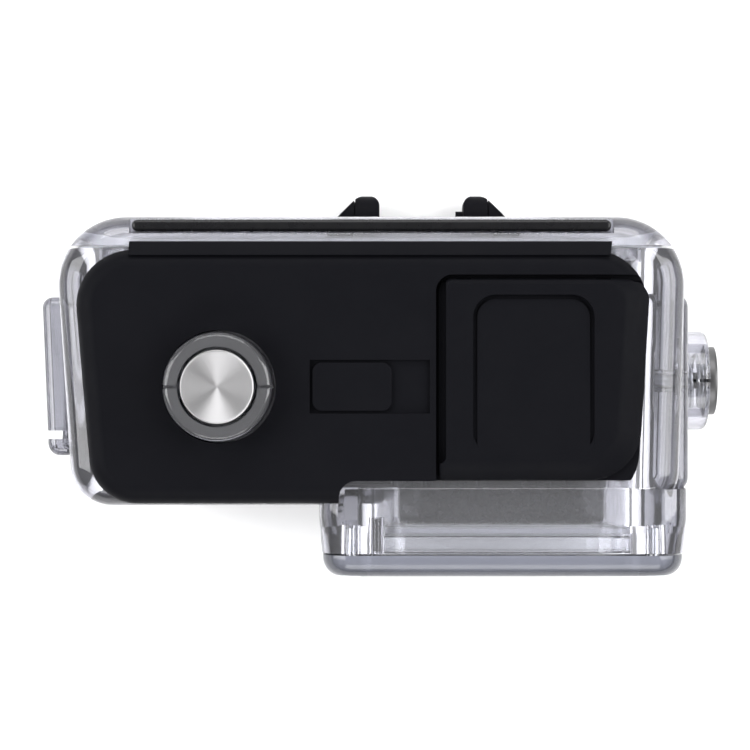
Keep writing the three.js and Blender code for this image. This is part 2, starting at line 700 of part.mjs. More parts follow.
const part = new THREE.Group();
part.name = 'dive_camera';

function add(name, material, g) {
  const mesh = new THREE.Mesh(g, new THREE.MeshStandardMaterial(MATERIALS[material]));
  mesh.name = name;
  part.add(mesh);
}

add('front_shell', 'clear', frontShell());
add('lens_port_bezel', 'smoke', portBezel());
add('port_window', 'glass', portWindow());
add('port_gasket', 'silicone', portGasket());
add('port_dowel', 'black', portDowel());
screwSpots().forEach((p, i) => add(`bezel_screw_${i + 1}`, 'steel', bezelScrew(p[0], p[1])));
add('base_plate', 'black', basePlate());
baseScrewSpots().forEach((p, i) => add(`base_screw_${i + 1}`, 'steel', baseScrew(p[0], p[1])));
add('tripod_insert', 'brass', tripodInsert());
add('hinge_pin_left', 'steel', hingePin(-1));
add('hinge_pin_right', 'steel', hingePin(1));

add('rear_door', 'clear', rearDoor());
add('door_seal', 'rubber', doorSeal());
add('door_top_rail', 'black', doorTopRail());
add('door_hinge_bar', 'black', doorHingeBar());

add('top_plate', 'black', topPlate());
add('latch_lever', 'black', latchLever());
add('latch_pin', 'steel', latchPin());
add('lock_slider', 'black', lockSlider());

const S = SHUTTER;
add('shutter_cap', 'alu', atShutter(capShape(S.rim + 0.3)));
add('shutter_stem', 'steel', atShutter(stemShape(S.rim + 0.3, 53.2, 54.1)));
add('shutter_sleeve', 'rubber', atShutter(sleeveShape(S.rim + 0.3)));
add('shutter_clip', 'steel', atShutter(clipShape(54.1)));
add('shutter_oring', 'rubber', atShutter(oringShape(S.floor - 1.3)));
add('shutter_spring', 'steel', atShutter(coil(3.2, 0.3, S.floor + 0.1, S.rim - 1.3, 4)));

const M = MODE;
add('mode_cap', 'alu', atMode(capShape(M.rim + 1.1)));
add('mode_stem', 'steel', atMode(stemShape(M.rim + 1.1, 32.0, 33.3)));
add('mode_sleeve', 'rubber', atMode(sleeveShape(M.rim + 1.1)));
add('mode_clip', 'steel', atMode(clipShape(33.3)));
add('mode_oring', 'rubber', atMode(oringShape(M.floor - 1.3)));
add('mode_spring', 'steel', atMode(coil(3.2, 0.25, M.floor + 0.1, M.rim - 0.5, 3)));

add('camera_shell', 'body', cameraShell());
add('camera_back', 'body', cameraBack());
add('rear_screen', 'screen', slab(rect(-23.7, 11.3, 23.7, 46.7, 1.8), 9.9, 10.6));
add('front_screen', 'screen', slab(rect(-26.7, 23.3, -4.3, 44.7, 1.8), -12.2, -11.6));
add('lens_ring', 'black', lensRing());
add('lens_glass', 'glass', rodY(9.6, -19.0, -18.1, LENS.x, LENS.z, 28));
add('lens_barrel', 'body', lensBarrel());
add('lens_element_front', 'glass', element(7.3, -15.9, -12.5, 1.6));
add('lens_element_rear', 'glass', element(5.9, -7.0, -4.0, 1.2));
add('image_sensor', 'screen', slab(centred(LENS.x, LENS.z, 12, 10, 0.4), 1.6, 2.6, 0, 0, 2));
add('main_board', 'board', mainBoard());
add('heat_spreader', 'alu', slab(rect(-28, 14, 27, 46, 1.5), 5.6, 6.6, 0, 0, 3));
add('battery', 'cell', battery());
add('memory_card', 'screen', slab(rect(-29, 10, -18, 21, 0.6), 2.6, 3.6, 0, 0, 2));
add('speaker', 'alu', rodY(4.2, -10.5, -7.5, -15.5, 13, 20));
add('camera_shutter_button', 'body', rod(3.9, 49.2, 51.3, 20).translate(S.x, S.y, 0));
add('camera_mode_button', 'body', alongX(rod(2.9, 28.2, 30.3, 18)).translate(0, M.y, M.z));
add('camera_port_door', 'body', box(CAM.x0 + 0.1, CAM.x0 + 1.2, -3.7, 4.7, 12.3, 21.7));
add('camera_pad_left', 'silicone', block(rect(-28, -11, -22, 7, 1.5), 5.75, 6.6, 0, 0, 3));
add('camera_pad_right', 'silicone', block(rect(22, -11, 28, 7, 1.5), 5.75, 6.6, 0, 0, 3));

export default part;
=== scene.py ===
"""Looks for an action camera in a clear dive housing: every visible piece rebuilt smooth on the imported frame."""
import json
import math

import bpy
import bmesh
from mathutils import Matrix, Vector


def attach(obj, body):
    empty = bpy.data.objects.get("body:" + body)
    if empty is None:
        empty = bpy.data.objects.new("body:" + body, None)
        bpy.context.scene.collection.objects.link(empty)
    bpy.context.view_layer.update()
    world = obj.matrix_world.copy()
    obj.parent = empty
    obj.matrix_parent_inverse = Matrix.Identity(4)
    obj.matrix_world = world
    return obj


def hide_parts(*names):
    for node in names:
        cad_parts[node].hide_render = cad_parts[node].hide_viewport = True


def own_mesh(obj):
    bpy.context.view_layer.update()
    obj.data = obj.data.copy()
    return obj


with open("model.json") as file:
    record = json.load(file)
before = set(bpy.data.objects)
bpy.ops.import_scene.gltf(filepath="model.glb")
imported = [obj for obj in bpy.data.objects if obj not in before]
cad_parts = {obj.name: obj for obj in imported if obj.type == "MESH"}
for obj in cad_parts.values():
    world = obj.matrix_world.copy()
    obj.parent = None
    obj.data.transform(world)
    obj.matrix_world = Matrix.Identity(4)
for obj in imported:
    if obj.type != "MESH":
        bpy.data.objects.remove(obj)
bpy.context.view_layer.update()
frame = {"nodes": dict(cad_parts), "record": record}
MM = 0.001

# ------------------------------------------------------------------ dimensions, mm, as in the CAD
HALF_W, FRONT_Y, REAR_Y, JOIN_Y, DOOR_Y = 37.3, -17.0, 17.0, 13.2, 13.5
SHELL_Z0, SHELL_Z1, EDGE_R = 3.1, 57.0, 3.2
CAVITY = dict(x=34.2, z0=5.5, z1=54.6, y0=-14.6, r=6.0)
HINGE = dict(x=6.95, y=20.0, z=3.2, r=3.0, pin=0.8, inner=5.75, split=9.15, outer=12.6, tip=3.05)
SOCKET = (12.0, -1.0)
PLATE_Z0, PLATE_Z1 = 57.1, 60.0
SLOT = dict(x0=-6.95, x1=6.95, y0=-6.1, y1=0.1, length=9.2, z=59.4)
POCKET = dict(x0=7.65, y1=9.95, z=58.0)
LATCH = dict(x0=7.95, y0=-13.9, y1=9.55, z0=58.3, z1=60.6)
PIVOT = dict(y=8.0, z=59.2, r=0.5)
EARS = ((10.3, 11.4), (26.4, 27.6))
LIP = dict(x0=-27.9, x1=28.1, y0=12.2, y1=13.85)
SHUTTER = dict(x=-17.4, y=-3.0, rim=64.0, floor=57.6)
MODE = dict(y=-2.35, z=36.0, rim=41.8, floor=37.9)
COLLAR_R, BORE_R, CAP_R, STEM_R = 6.25, 4.6, 4.25, 1.1
PORT = dict(x=15.7, z=34.9, w=43.4, h=43.8, r=3.6, y1=-22.6)
WINDOW, PORT_BORE, GASKET = (36.0, 36.4, 7.7), (34.4, 33.0, 6.0), (35.6, 35.3, 7.1, 0.45)
CAM = dict(x0=-31.5, x1=30.0, y0=-12.3, y1=8.6, z0=6.8, z1=51.0, r=4.5, wall=1.5)
LENS = (15.7, 36.0)
DOWEL = (0.8, 54.7)


# ------------------------------------------------------------------ geometry helpers (millimetres)
def mesh_object(name, verts, faces):
    me = bpy.data.meshes.new(name)
    me.from_pydata([tuple(v) for v in verts], [], faces)
    me.validate()
    o = bpy.data.objects.new(name, me)
    bpy.context.scene.collection.objects.link(o)
    return o


def outline(corners, inset=0.0, steps=12):
    """Points round a convex polygon whose corners (x, y, radius) are rounded, moved inwards by inset."""
    n = len(corners)
    lines = []
    for i in range(n):
        a, b = corners[i], corners[(i + 1) % n]
        length = math.hypot(b[0] - a[0], b[1] - a[1])
        nx, ny = -(b[1] - a[1]) / length, (b[0] - a[0]) / length
        lines.append((nx, ny, nx * a[0] + ny * a[1] + inset))
    pts = []
    for i in range(n):
        p, q = lines[i - 1], lines[i]
        r = max(corners[i][2] - inset, 0.05)
        det = p[0] * q[1] - p[1] * q[0]
        cx = ((p[2] + r) * q[1] - (q[2] + r) * p[1]) / det
        cy = (p[0] * (q[2] + r) - q[0] * (p[2] + r)) / det
        a0, a1 = math.atan2(-p[1], -p[0]), math.atan2(-q[1], -q[0])
        if a1 < a0:
            a1 += 2 * math.pi
        for k in range(steps + 1):
            a = a0 + (a1 - a0) * k / steps
            pts.append((cx + r * math.cos(a), cy + r * math.sin(a)))
    return pts


def rect(x0, y0, x1, y1, r):
    return [(x0, y0, r), (x1, y0, r), (x1, y1, r), (x0, y1, r)]


def centred(cx, cy, w, h, r):
    return rect(cx - w / 2, cy - h / 2, cx + w / 2, cy + h / 2, r)


def loft(name, sections):
    """Closed solid through a stack of (points, z) outlines with the same number of points."""
    n = len(sections[0][0])
    verts = [(p[0], p[1], z) for pts, z in sections for p in pts]
    faces = [tuple(reversed(range(n)))]
    for j in range(len(sections) - 1):
        for i in range(n):
            a, b = j * n + i, j * n + (i + 1) % n
            faces.append((a, b, b + n, a + n))
    faces.append(tuple(range((len(sections) - 1) * n, len(sections) * n)))
    return mesh_object(name, verts, faces)


def block(name, corners, z0, z1, top=0.0, bottom=0.0, steps=12, arc=8):
    """Rounded-corner block along Z with its top and bottom edges rounded."""
    rings = []
    if bottom > 0:
        for k in range(arc, 0, -1):
            a = k / arc * math.pi / 2
            rings.append((bottom * (1 - math.cos(a)), z0 + bottom * (1 - math.sin(a))))
    rings += [(0.0, z0 + bottom), (0.0, z1 - top)]
    if top > 0:
        for k in range(1, arc + 1):
            a = k / arc * math.pi / 2
            rings.append((top * (1 - math.cos(a)), z1 - top * (1 - math.sin(a))))
    return loft(name, [(outline(corners, i, steps), z) for i, z in rings])


def transform(o, m):
    o.data.transform(m)
    if m.determinant() < 0:
        o.data.flip_normals()
    return o


ALONG_Y = Matrix.Rotation(math.pi / 2, 4, "X")     # z becomes -y, y becomes z
ALONG_X = Matrix.Rotation(math.pi / 2, 4, "Y")     # z becomes x, x becomes -z


def moved(o, x=0.0, y=0.0, z=0.0):
    return transform(o, Matrix.Translation((x, y, z)))


def slab(name, corners, y0, y1, round0=0.0, round1=0.0, steps=12, arc=8):
    """Block whose outline lies in XZ, between y0 < y1; round0 rounds the edge at y1, round1 the one at y0."""
    return transform(block(name, corners, -y1, -y0, round1, round0, steps, arc), ALONG_Y)


def box(name, x0, x1, y0, y1, z0, z1):
    v = [(x, y, z) for z in (z0, z1) for x, y in ((x0, y0), (x1, y0), (x1, y1), (x0, y1))]
    f = [(3, 2, 1, 0), (4, 5, 6, 7), (0, 1, 5, 4), (1, 2, 6, 5), (2, 3, 7, 6), (3, 0, 4, 7)]
    return mesh_object(name, v, f)


def turned(name, profile, seg=96):
    """Solid of revolution about Z from an open profile [(r, z)] that starts and ends on the axis."""
    verts, rows = [], []
    for r, z in profile:
        if r < 1e-6:
            rows.append([len(verts)])
            verts.append((0, 0, z))
        else:
            rows.append(list(range(len(verts), len(verts) + seg)))
            verts += [(r * math.cos(2 * math.pi * k / seg), r * math.sin(2 * math.pi * k / seg), z)
                      for k in range(seg)]
    faces = []
    for a, b in zip(rows, rows[1:]):
        for k in range(seg):
            n = (k + 1) % seg
            if len(a) == 1 and len(b) > 1:
                faces.append((a[0], b[n], b[k]))
            elif len(b) == 1 and len(a) > 1:
                faces.append((a[k], a[n], b[0]))
            elif len(a) > 1:
                faces.append((a[k], a[n], b[n], b[k]))
    return mesh_object(name, verts, faces)


def ring_turned(name, profile, seg=96):
    """Solid of revolution about Z from a closed profile that stays off the axis."""
    m = len(profile)
    verts = [(r * math.cos(2 * math.pi * k / seg), r * math.sin(2 * math.pi * k / seg), z)
             for k in range(seg) for r, z in profile]
    faces = []
    for k in range(seg):
        n = (k + 1) % seg
        for i in range(m):
            j = (i + 1) % m
            faces.append((k * m + i, n * m + i, n * m + j, k * m + j))
    return mesh_object(name, verts, faces)


def rod(name, r, z0, z1, seg=64):
    return turned(name, [(0, z0), (r, z0), (r, z1), (0, z1)], seg)


def rod_x(name, r, x0, x1, y, z, seg=48):
    return moved(transform(rod(name, r, x0, x1, seg), ALONG_X), 0, y, z)


def rod_y(name, r, y0, y1, x, z, seg=64):
    return moved(transform(rod(name, r, -y1, -y0, seg), ALONG_Y), x, 0, z)


def boolean(base, tools, operation):
    """base joined with or cut by each tool, which is then removed."""
    for t in tools:
        m = base.modifiers.new("b", "BOOLEAN")
        m.operation, m.solver, m.object = operation, "EXACT", t
        graph = bpy.context.evaluated_depsgraph_get()
        me = bpy.data.meshes.new_from_object(base.evaluated_get(graph))
        base.modifiers.clear()
        base.data = me
        bpy.data.objects.remove(t)
    return base


def union(base, *tools):
    return boolean(base, tools, "UNION")


def cut(base, *tools):
    return boolean(base, tools, "DIFFERENCE")


def tidy(o, merge=0.004):
    """Merges stray near-duplicate points that a boolean leaves."""
    bm = bmesh.new()
    bm.from_mesh(o.data)
    bmesh.ops.remove_doubles(bm, verts=bm.verts, dist=merge)
    bmesh.ops.dissolve_degenerate(bm, edges=bm.edges, dist=1e-4)
    bm.to_mesh(o.data)
    bm.free()


def piece(o, body, material, nodes=(), bevel=0.12, angle=32, segments=3):
    """Finishes a shape built in millimetres: scale to metres, edge bevel, smooth shading, material, body."""
    tidy(o)
    o.data.transform(Matrix.Scale(MM, 4))
    o.data.polygons.foreach_set("use_smooth", [True] * len(o.data.polygons))
    o.data.set_sharp_from_angle(angle=math.radians(angle))
    if bevel:
        m = o.modifiers.new("edge", "BEVEL")
        m.width, m.segments, m.limit_method = bevel * MM, segments, "ANGLE"
        m.angle_limit = math.radians(angle)
        m.use_clamp_overlap, m.harden_normals = True, False
    o.modifiers.new("shade", "WEIGHTED_NORMAL").keep_sharp = True
    o.data.materials.clear()
    o.data.materials.append(material)
    if nodes:
        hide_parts(*nodes)
    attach(o, body)
    return o


# ------------------------------------------------------------------ materials
class Nodes:
    """Small helper that builds one procedural material."""

    def __init__(self, name, color, rough, metallic=0.0, **sockets):
        self.mat = bpy.data.materials.new(name)
        self.mat.use_nodes = True
        self.tree = self.mat.node_tree
        self.bsdf = self.tree.nodes["Principled BSDF"]
        self.bsdf.inputs["Base Color"].default_value = (*color, 1)
        self.bsdf.inputs["Roughness"].default_value = rough
        self.bsdf.inputs["Metallic"].default_value = metallic
        for key, value in sockets.items():
            self.bsdf.inputs[key.replace("_", " ")].default_value = value
        self.coord = self.tree.nodes.new("ShaderNodeTexCoord").outputs["Object"]
        self.height = None

    def node(self, kind, **attrs):
        n = self.tree.nodes.new(kind)
        for key, value in attrs.items():
            setattr(n, key, value)
        return n

    def link(self, a, b):
        self.tree.links.new(a, b)

    def noise(self, scale, detail=4.0, rough=0.55, vector=None):
        n = self.node("ShaderNodeTexNoise")
        n.inputs["Scale"].default_value = scale
        n.inputs["Detail"].default_value = detail
        n.inputs["Roughness"].default_value = rough
        self.link(vector or self.coord, n.inputs["Vector"])
        return n.outputs["Fac"]

    def vary_color(self, fac, low, high, a=0.3, b=0.7):
        """Base colour runs from low to high as fac goes from a to b."""
        n = self.node("ShaderNodeValToRGB")
        n.color_ramp.elements[0].position, n.color_ramp.elements[0].color = a, (*low, 1)
        n.color_ramp.elements[1].position, n.color_ramp.elements[1].color = b, (*high, 1)
        self.link(fac, n.inputs["Fac"])
        self.link(n.outputs["Color"], self.bsdf.inputs["Base Color"])

    def vary_rough(self, fac, low, high):
        n = self.node("ShaderNodeMapRange")
        n.inputs["From Min"].default_value, n.inputs["From Max"].default_value = 0.3, 0.7
        n.inputs["To Min"].default_value, n.inputs["To Max"].default_value = low, high
        self.link(fac, n.inputs["Value"])
        self.link(n.outputs["Result"], self.bsdf.inputs["Roughness"])

    def bump(self, fac, strength, distance):
        n = self.node("ShaderNodeBump")
        n.inputs["Strength"].default_value = strength
        n.inputs["Distance"].default_value = distance
        self.link(fac, n.inputs["Height"])
        if self.height is not None:
            self.link(self.height, n.inputs["Normal"])
        self.height = n.outputs["Normal"]
        self.link(self.height, self.bsdf.inputs["Normal"])


def moulded_plastic(name, low, high, rough, grain=0.12, spec=0.35):
    m = Nodes(name, low, rough, Specular_IOR_Level=spec)
    m.vary_color(m.noise(180, 3), low, high)
    m.vary_rough(m.noise(900, 4), rough - 0.05, rough + 0.06)
    m.bump(m.noise(5200, 2, 0.6), grain, 0.00003)
    return m.mat


def clear_plastic(name, color, rough=0.05, transmission=0.85, ior=1.49, depth=None, edge=None):
    """Clear moulding.

    depth is (colour, density) of the absorption, so that thick walls seen on edge are darker.
    edge is a painted shade colour: the base colour darkens to it at grazing angles, towards each outline, standing in
    for dark surroundings refracted there.
    """
    m = Nodes(name, color, rough, IOR=ior, Transmission_Weight=transmission)
    if depth:
        volume = m.node("ShaderNodeVolumeAbsorption")
        volume.inputs["Color"].default_value = (*depth[0], 1)
        volume.inputs["Density"].default_value = depth[1]
        m.link(volume.outputs[0], m.tree.nodes["Material Output"].inputs["Volume"])
    if edge:
        # painted shade: the base colour darkens where the surface turns away from the view
        painted_shade_weight = m.node("ShaderNodeLayerWeight")
        painted_shade_weight.inputs["Blend"].default_value = 0.5
        m.vary_color(painted_shade_weight.outputs["Facing"], color, edge, 0.05, 0.35)
    else:
        m.vary_color(m.noise(60, 2), tuple(c * 0.97 for c in color), color)
    m.vary_rough(m.noise(260, 3), rough, rough + 0.05)
    m.bump(m.noise(120, 2, 0.4), 0.03, 0.0002)
    return m.mat


def satin_metal(name, color, rough=0.3):
    m = Nodes(name, color, rough, metallic=1.0)
    m.vary_color(m.noise(400, 4), tuple(c * 0.9 for c in color), color)
    m.vary_rough(m.noise(1500, 4), rough - 0.06, rough + 0.08)
    m.bump(m.noise(7000, 3), 0.08, 0.00002)
    return m.mat


def spun_metal(name, centre, axis, color):
    """Turned face with circular grain about an axis through centre (metres), and painted shade in a thin ring round
    its rim, where it meets the collar.
    """
    m = Nodes(name, color, 0.26, metallic=1.0, Anisotropic=0.8)
    offset = m.node("ShaderNodeVectorMath", operation="SUBTRACT")
    offset.inputs[1].default_value = centre
    m.link(m.coord, offset.inputs[0])
    flat = m.node("ShaderNodeVectorMath", operation="MULTIPLY")
    flat.inputs[1].default_value = (0, 1, 1) if axis == "X" else (1, 1, 0)
    m.link(offset.outputs[0], flat.inputs[0])
    radius = m.node("ShaderNodeVectorMath", operation="LENGTH")
    m.link(flat.outputs[0], radius.inputs[0])
    line = m.node("ShaderNodeCombineXYZ")
    m.link(radius.outputs["Value"], line.inputs["X"])
    rings = m.noise(14000, 3, 0.7, line.outputs[0])
    # painted shade: the colour falls to a fifth over the cap's outer 0.2 mm, for the shadowed gap at the collar
    painted_rim_shade = m.node("ShaderNodeMapRange")
    painted_rim_shade.inputs["From Min"].default_value = (CAP_R - 0.20) * MM
    painted_rim_shade.inputs["From Max"].default_value = (CAP_R - 0.07) * MM
    m.link(radius.outputs["Value"], painted_rim_shade.inputs["Value"])
    m.vary_color(painted_rim_shade.outputs[0], color, tuple(c * 0.2 for c in color), 0.0, 1.0)
    m.vary_rough(rings, 0.28, 0.38)
    m.bump(rings, 0.10, 0.00001)
    tangent = m.node("ShaderNodeTangent", direction_type="RADIAL", axis=axis)
    m.link(tangent.outputs[0], m.bsdf.inputs["Tangent"])
    return m.mat


ABSORBED = (0.50, 0.50, 0.56)
# CLEAR, CLEAR_DOOR and SMOKE end with a painted shade colour that their outlines darken to at grazing angles
CLEAR = clear_plastic("clear polycarbonate", (0.87, 0.875, 0.92), 0.04, 0.94, 1.5, (ABSORBED, 38.0),
                      (0.48, 0.48, 0.525))
CLEAR_DOOR = clear_plastic("clear polycarbonate door", (0.95, 0.955, 1.0), 0.05, 0.86, 1.5, (ABSORBED, 30.0),
                           (0.36, 0.36, 0.405))
SMOKE = clear_plastic("smoky polycarbonate", (0.26, 0.27, 0.325), 0.1, 0.5, 1.45, None, (0.12, 0.125, 0.15))
GLASS = clear_plastic("optical glass", (0.97, 0.98, 0.98), 0.0, 1.0, 1.5)
BLACK = moulded_plastic("black moulded plastic", (0.0042, 0.0043, 0.0057), (0.0048, 0.0049, 0.0063), 0.5, 0.1, 0.03)
BLACK_GLOSS = moulded_plastic("black satin plastic", (0.0040, 0.0040, 0.0050), (0.0050, 0.0050, 0.0060), 0.28,
                              0.05, 0.3)
SOFT = moulded_plastic("soft touch coating", (0.012, 0.012, 0.014), (0.018, 0.018, 0.020), 0.55, 0.1)
RUBBER = moulded_plastic("seal rubber", (0.008, 0.008, 0.008), (0.014, 0.014, 0.014), 0.6, 0.15)
SILICONE = moulded_plastic("pale silicone", (0.90, 0.91, 0.95), (0.93, 0.94, 0.97), 0.45, 0.1, 0.35)
BOARD = moulded_plastic("solder mask", (0.012, 0.075, 0.035), (0.018, 0.10, 0.045), 0.3, 0.06)
CELL = moulded_plastic("battery wrap", (0.045, 0.050, 0.058), (0.055, 0.060, 0.070), 0.35, 0.05)
SCREEN = moulded_plastic("screen glass", (0.0025, 0.003, 0.004), (0.0035, 0.004, 0.005), 0.08, 0.0, 0.5)
STEEL = satin_metal("satin steel", (0.60, 0.61, 0.63))
BRASS = satin_metal("machined brass", (0.66, 0.47, 0.20), 0.28)
ALU = satin_metal("satin aluminium", (0.74, 0.74, 0.76), 0.33)
BY_SLOT = {
    "clear_shell": CLEAR, "smoke_ring": SMOKE, "window_glass": GLASS, "black_plastic": BLACK,
    "camera_body": SOFT, "seal_rubber": RUBBER, "silicone": SILICONE, "steel": STEEL,
    "spun_aluminium": ALU, "brass": BRASS, "circuit_board": BOARD, "battery_case": CELL,
    "screen_glass": SCREEN,
}


# ------------------------------------------------------------------ housing
def body_plan():
    return [(-35.0, FRONT_Y, 5), (36.3, FRONT_Y, 4), (HALF_W, REAR_Y, 8), (-HALF_W, REAR_Y, 8)]


def body_blank(name, z0, bottom):
    return block(name, body_plan(), z0, SHELL_Z1, EDGE_R, bottom, 16, 10)


def port_slab(size, y0, y1, round0=0.0, round1=0.0):
    return slab("cut", centred(PORT["x"], PORT["z"], *size), y0, y1, round0, round1)


def port_blank():
    p = PORT
    wide = outline(centred(p["x"], p["z"], p["w"], p["h"], p["r"]))
    slim = outline(centred(p["x"], p["z"], p["w"] - 0.7, p["h"] - 1.0, p["r"]))
    return transform(loft("port", [(wide, 15), (wide, 18.5), (slim, -p["y1"])]), ALONG_Y)


def cavity_blank():
    c = CAVITY
    back = outline(rect(-c["x"], c["z0"], c["x"], c["z1"], c["r"]))
    front = outline(rect(-c["x"] + 1.2, c["z0"], c["x"] - 0.6, c["z1"], c["r"]))
    return transform(loft("cavity", [(back, -JOIN_Y - 1), (back, 0.5 - JOIN_Y), (front, -c["y0"])]), ALONG_Y)


def screw_spots():
    dx, dz = PORT["w"] / 2 - 3.9, PORT["h"] / 2 - 3.9
    return [(PORT["x"] + a * dx, PORT["z"] + b * dz) for a, b in ((-1, -1), (1, -1), (1, 1), (-1, 1))]


def base_spots():
    return [(-27, -11.5), (27, -11.5), (27, 9.5), (-27, 9.5)]


def at_shutter(o):
    return moved(o, SHUTTER["x"], SHUTTER["y"])


def at_mode(o):
    return moved(transform(o, ALONG_X), 0, MODE["y"], MODE["z"])


def button_cuts(rim, floor, depth, place, slot_depth):
    tools = [rod("bore", BORE_R, floor, rim + 1, 96),
             box("slots", -COLLAR_R - 1, COLLAR_R + 1, -0.2, 0.2, rim - slot_depth, rim + 5),
             rod("stem", STEM_R + 0.3, depth, floor + 1, 32),
             rod("gland", 2.5, floor - 1.9, floor - 0.7, 48)]
    return [place(t) for t in tools]


def front_shell():
    o = body_blank("front_shell_clear", SHELL_Z0, 1.5)
    r = COLLAR_R
    lobe = [(r - 0.7 + 0.7 * math.cos(a), 63.3 + 0.7 * math.sin(a)) for a in [k * math.pi / 16 for k in range(9)]]
    collar = turned("collar", [(0, 55), (r + 0.05, 55), (r + 0.05, 60)] + lobe + [(0, 64)])
    side = turned("side", [(0, 35.2), (r + 0.1, 35.2), (r - 0.1, 41.1), (r - 0.22, 41.5),
                           (r - 0.45, 41.72), (r - 0.75, 41.8), (0, 41.8)])
    rib_plan = [(-38.5, -11.3, 1.5), (-35.5, -11.3, 0.8), (-35.5, 7.7, 0.8), (-39.3, 7.7, 1.3)]
    rib = block("rib", rib_plan, 10, 50, 1.2, 1.2, 8, 6)
    pad = block("pad", rect(34, -15.6, 37.9, 8.2, 1.8), 8, 52, 1.5, 1.5, 8, 6)
    union(o, port_blank(), at_shutter(collar), at_mode(side), rib, pad)
    cut(o, box("trim", -60, 60, JOIN_Y, 60, -10, 90), cavity_blank(), port_slab(PORT_BORE, -30, -14),
        port_slab((WINDOW[0] + 0.6, WINDOW[1] + 0.6, WINDOW[2] + 0.3), -30, -20.2),
        port_slab((GASKET[0] + 0.3, GASKET[1] + 0.3, 7.2), -20.3, -19.4), box("slot", -40, -36.7, -9.3, -8.3, 0, 60),
        rod_y("dowel", 0.9, -30, -18.3, *DOWEL, 32))
    cut(o, *button_cuts(SHUTTER["rim"], SHUTTER["floor"], 53, at_shutter, 2.6))
    cut(o, *button_cuts(MODE["rim"], MODE["floor"], 32, at_mode, 2.2))
    cut(o, *[rod_y("hole", 1.0, -30, -19.2, x, z, 32) for x, z in screw_spots()])
    cut(o, *[moved(rod("hole", 0.9, -1, 5, 32), x, y) for x, y in base_spots()])
    return piece(o, "housing", CLEAR, ["front_shell"], 0.15)


def port_bezel():
    p, y0, y1 = PORT, -25.4, -22.8
    o = slab("port_ring", centred(p["x"], p["z"], p["w"] - 0.9, p["h"] - 1.2, p["r"]), y0, y1, 0, 2.2)
    cut(o, port_slab(PORT_BORE, y0 - 1, y1 + 1))
    for x, z in screw_spots():
        cut(o, rod_y("hole", 1.2, y0 - 1, y1 + 1, x, z, 32), rod_y("seat", 1.9, y0 - 1, y0 + 1.1, x, z, 48))
    return piece(o, "housing", SMOKE, ["lens_port_bezel"], 0.2)


def bezel_screw(i, x, z):
    o = union(rod_y(f"port_screw_{i}", 1.6, -25.3, -24.5, x, z, 48), rod_y("shaft", 0.7, -24.6, -19.6, x, z, 24))
    cut(o, slab("drive", centred(x, z, 1.8, 0.4, 0.05), -25.6, -24.9, steps=2),
        slab("drive", centred(x, z, 0.4, 1.8, 0.05), -25.6, -24.9, steps=2))
    return piece(o, "housing", STEEL, [f"bezel_screw_{i}"], 0.08)


def port_window():
    o = port_slab(WINDOW, -22.5, -20.5, 0.3, 0.3)
    o.name = "port_glass"
    return piece(o, "housing", GLASS, ["port_window"], 0)


def port_dowel():
    o = rod_y("port_locating_pin", 0.75, -22.3, -18.5, *DOWEL, 32)
    return piece(o, "housing", BLACK, ["port_dowel"], 0.15)


def port_gasket():
    w, h, r, t = GASKET
    o = port_slab((w, h, r), -20.25, -19.6)
    o.name = "port_seal"
    cut(o, port_slab((w - 2 * t, h - 2 * t, r - t), -21, -19))
    return piece(o, "housing", SILICONE, ["port_gasket"], 0.1)


# ------------------------------------------------------------------ base
def lug_plan(s):
    """Plan of one hinge lug: flat towards the middle, rounded at its tip, sloping away outwards."""
    h = HINGE
    tip = h["y"] + h["tip"]
    half = [(h["inner"], 10, 0.3), (21.0, 10, 0.3), (8.55, tip, 2.2), (h["inner"], tip, 1.5)]
    pts = [(h["x"] + s * u, v, r) for u, v, r in half]
    return block("plan", pts if s > 0 else pts[::-1], -2, 9, 0, 0, 16)


def lug(name, s, u0, u1, arm=None):
    """Round lug about the hinge axis between the offsets u0 and u1, trimmed to the lug's plan."""
    h = HINGE
    a, b = sorted((h["x"] + s * u0, h["x"] + s * u1))
    o = rod_x(name, h["r"], a, b, h["y"], h["z"], 96)
    if arm:
        union(o, box("arm", a, b, *arm))
    return boolean(o, [lug_plan(s)], "INTERSECT")


def across(name, r, s, u0, u1):
    a, b = sorted((HINGE["x"] + s * u0, HINGE["x"] + s * u1))
    return rod_x(name, r, a, b, HINGE["y"], HINGE["z"], 64)


def base_plate():
    h = HINGE
    o = block("base_black", [(-31, -15, 4), (31, -15, 4), (31, 13, 4), (-31, 13, 4)], 0, 3, 0, 0.6)
    for s in (-1, 1):
        side = h["split"] + 0.075
        union(o, lug("ear", s, side, h["outer"], (11, h["y"], 0.4, 2.9)),
              across("boss", 2.2, s, side - 0.5, side + 0.2))
        cut(o, across("hole", 0.85, s, side - 2, h["outer"] + 2))
    cut(o, moved(rod("socket", 5.2, -1, 2.4, 64), *SOCKET))
    for x, y in base_spots():
        cut(o, moved(rod("hole", 1.3, -1, 4, 32), x, y), moved(rod("seat", 2.4, -1, 1.6, 48), x, y))
    return piece(o, "housing", BLACK, ["base_plate"], 0.1)


def base_screw(i, x, y):
    o = union(moved(rod(f"base_bolt_{i}", 2.1, 0.4, 1.4, 48), x, y), moved(rod("shaft", 0.7, 1.3, 4.7, 24), x, y))
    cut(o, block("drive", centred(x, y, 2.4, 0.5, 0.05), 0.2, 0.9, steps=2),
        block("drive", centred(x, y, 0.5, 2.4, 0.05), 0.2, 0.9, steps=2))
    return piece(o, "housing", STEEL, [f"base_screw_{i}"], 0.08)


